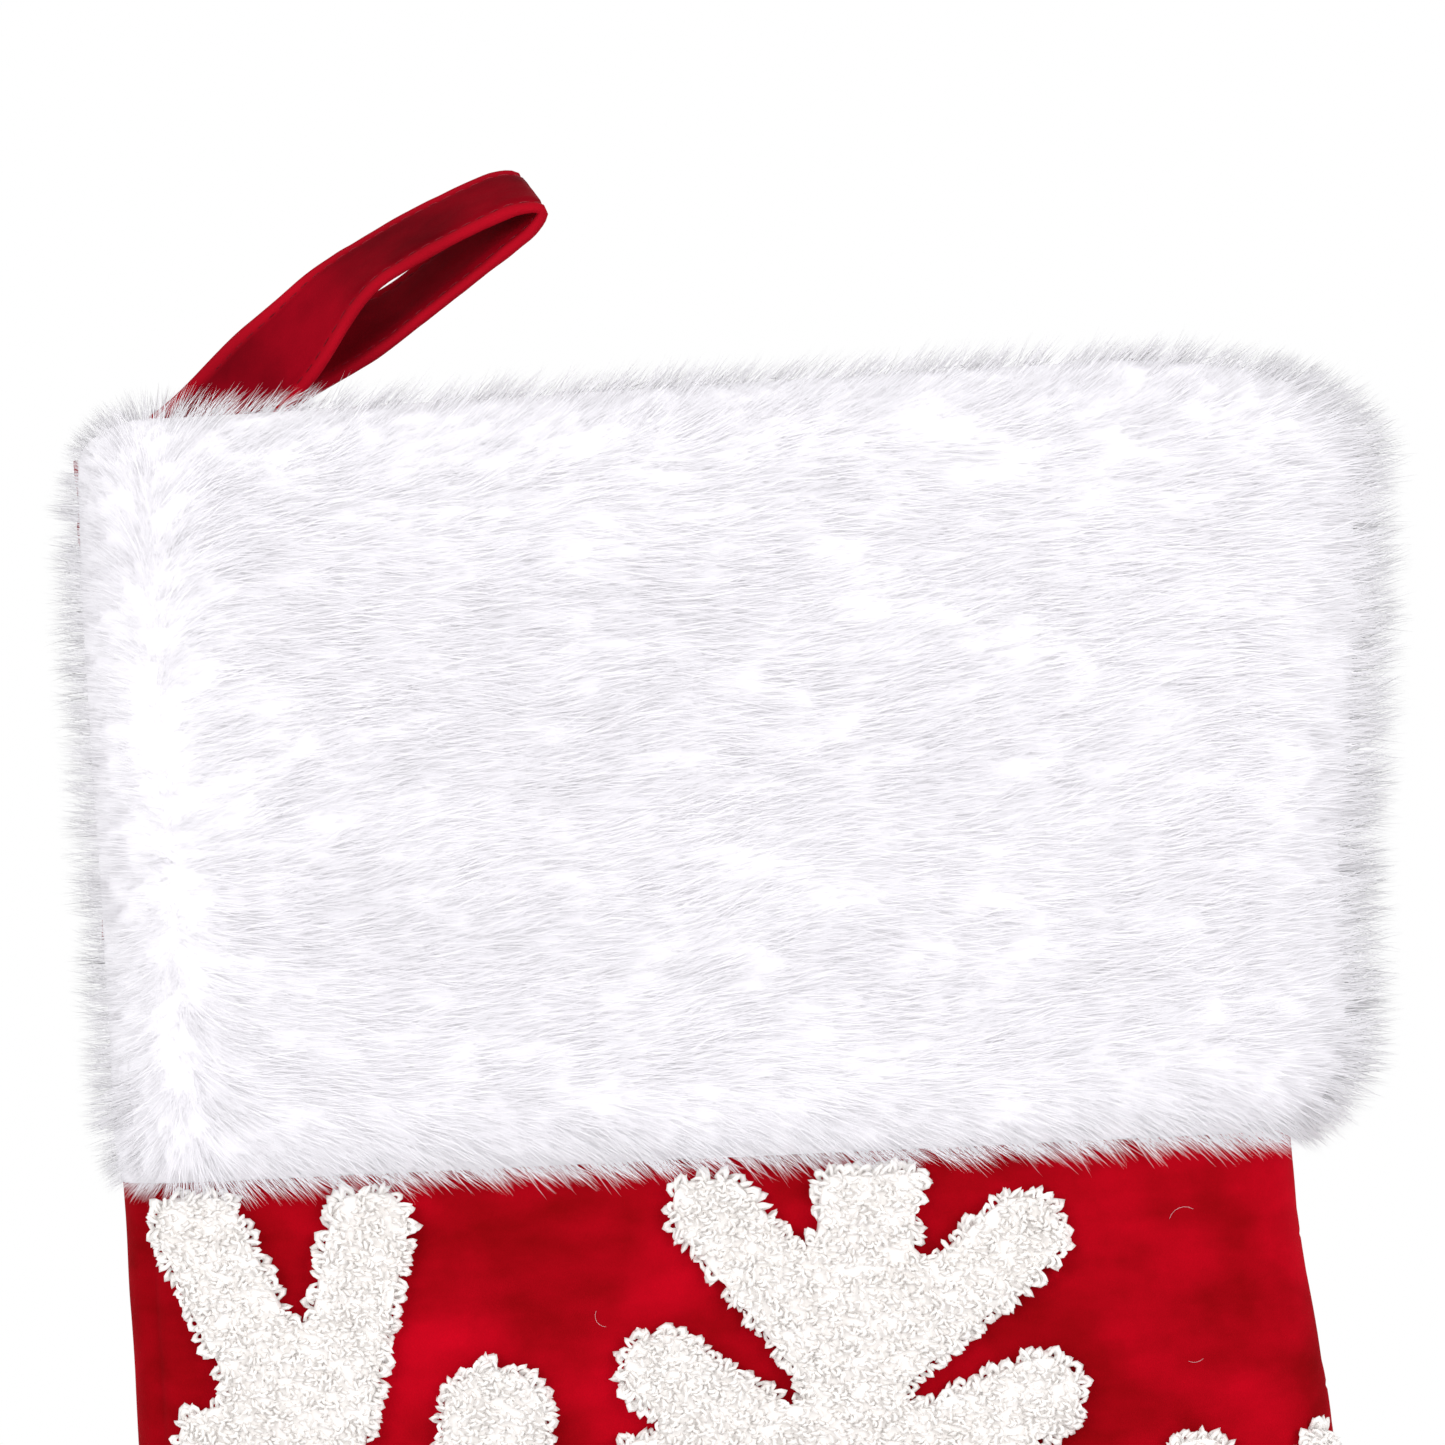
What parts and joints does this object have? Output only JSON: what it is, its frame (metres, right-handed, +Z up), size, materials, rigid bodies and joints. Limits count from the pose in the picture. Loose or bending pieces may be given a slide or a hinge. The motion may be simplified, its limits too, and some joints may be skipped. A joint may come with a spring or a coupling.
{
  "type": "hanging stocking",
  "caption": "Velvet holiday stocking with a deep plush cuff, tufted snowflakes, a lined foot and leg, and a folded hanging strap.",
  "frame": {"origin": "the hanging point: inside the fold of the strap, where a hook or nail bears", "axes": "+X from the heel side to the toe side, +Y from the front with the snowflakes to the back, +Z up along the leg"},
  "size_m": [0.3458, 0.0508, 0.5404],
  "materials": {
    "velvet": "crimson velvet with a crushed nap",
    "strap_velvet": "crimson velvet strap, folded double",
    "plush": "white long-pile plush",
    "tufting": "cream looped yarn",
    "lining": "plain woven off-white lining",
    "thread": "red sewing thread"
  },
  "bodies": {
    "stocking": {"front_panel": "velvet", "back_panel": "velvet", "side_seam": "thread", "lining_front": "lining", "lining_back": "lining", "mouth_facing": "plush", "cuff_front": "plush", "cuff_back": "plush", "cuff_seams": "velvet", "loop_tails": "strap_velvet", "loop_box_stitch": "thread", "snowflake_center": "tufting", "snowflake_left": "tufting", "snowflake_right": "tufting", "snowflake_ankle": "tufting", "snowflake_heel": "tufting", "snowflake_foot": "tufting", "snowflake_toe": "tufting"},
    "strap_root": {"loop_root": "strap_velvet", "loop_root_topstitch": "thread"},
    "strap_loop": {"hang_loop": "strap_velvet", "hang_loop_topstitch": "thread"}
  },
  "joints": [
    {"name": "loop_lean", "type": "hinge", "parent": "stocking", "child": "strap_root", "pos_m": [-0.067, 0, -0.042], "axis": [0, 1, 0], "range_deg": [-105, 3]},
    {"name": "loop_fold", "type": "hinge", "parent": "strap_root", "child": "strap_loop", "pos_m": [-0.04328, 0, -0.02713], "axis": [-0.5311, 0, 0.8473], "range_deg": [-70, 70]}
  ]
}
